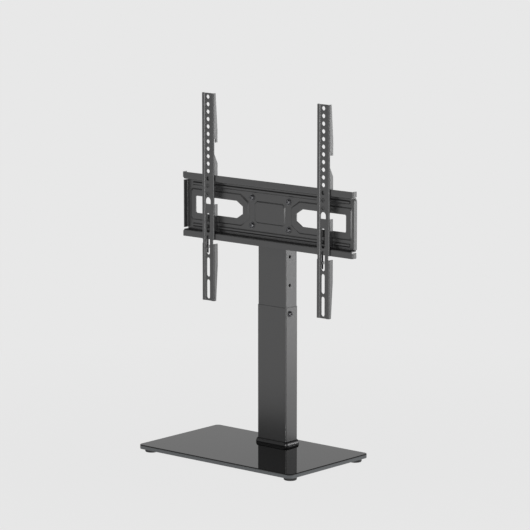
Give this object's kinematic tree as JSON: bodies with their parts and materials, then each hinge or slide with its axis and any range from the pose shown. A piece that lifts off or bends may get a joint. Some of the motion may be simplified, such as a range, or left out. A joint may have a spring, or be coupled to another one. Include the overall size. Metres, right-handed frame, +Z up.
{
  "type": "tabletop tv stand with mount",
  "caption": "Television stand for a table: glass base, steel column that telescopes in steps, pressed mount plate and two upright hook-on rails that slide sideways.",
  "frame": {"origin": "on the table, under the middle of the glass base", "axes": "+Z up, +X to the right of someone who faces the television, +Y to the back; the television looks towards -Y"},
  "size_m": [0.444, 0.24, 0.7147],
  "materials": {
    "black_glass": "polished, opaque black tempered glass",
    "black_powder_coated_steel": "satin black powder coat",
    "black_rubber": "matt",
    "black_plastic": "semi-gloss moulded",
    "zinc_plated_steel": "zinc plated, satin",
    "black_zinc_steel": "black zinc plated"
  },
  "bodies": {
    "base": {"glass_base": "black_glass", "rubber_feet": "black_rubber", "backing_plate": "black_powder_coated_steel", "lower_gasket": "black_rubber", "upper_gasket": "black_rubber", "glass_bushes": "black_plastic", "base_bolts": "black_zinc_steel", "column_foot": "black_powder_coated_steel", "outer_column": "black_powder_coated_steel", "foot_collar": "black_plastic", "height_bolts": "black_zinc_steel", "height_washers": "black_zinc_steel"},
    "head": {"inner_column": "black_powder_coated_steel", "height_nuts": "black_zinc_steel", "column_guide": "black_plastic", "column_cap": "black_plastic", "head_plate": "black_powder_coated_steel", "mount_plate": "black_powder_coated_steel", "plate_bolts": "black_zinc_steel", "plate_washers": "black_zinc_steel", "plate_nuts": "zinc_plated_steel"},
    "left_hanger": {"left_rail": "black_powder_coated_steel", "left_lock_bracket": "black_powder_coated_steel", "left_lock_screw": "black_zinc_steel"},
    "right_hanger": {"right_rail": "black_powder_coated_steel", "right_lock_bracket": "black_powder_coated_steel", "right_lock_screw": "black_zinc_steel"}
  },
  "joints": [
    {"name": "height_slide", "type": "slide", "parent": "base", "child": "head", "axis": [0, 0, 1], "range_m": [-0.115, 0]},
    {"name": "left_rail_slide", "type": "slide", "parent": "head", "child": "left_hanger", "axis": [-1, 0, 0], "range_m": [-0.1, 0.05]},
    {"name": "right_rail_slide", "type": "slide", "parent": "head", "child": "right_hanger", "axis": [1, 0, 0], "range_m": [-0.1, 0.05]}
  ]
}
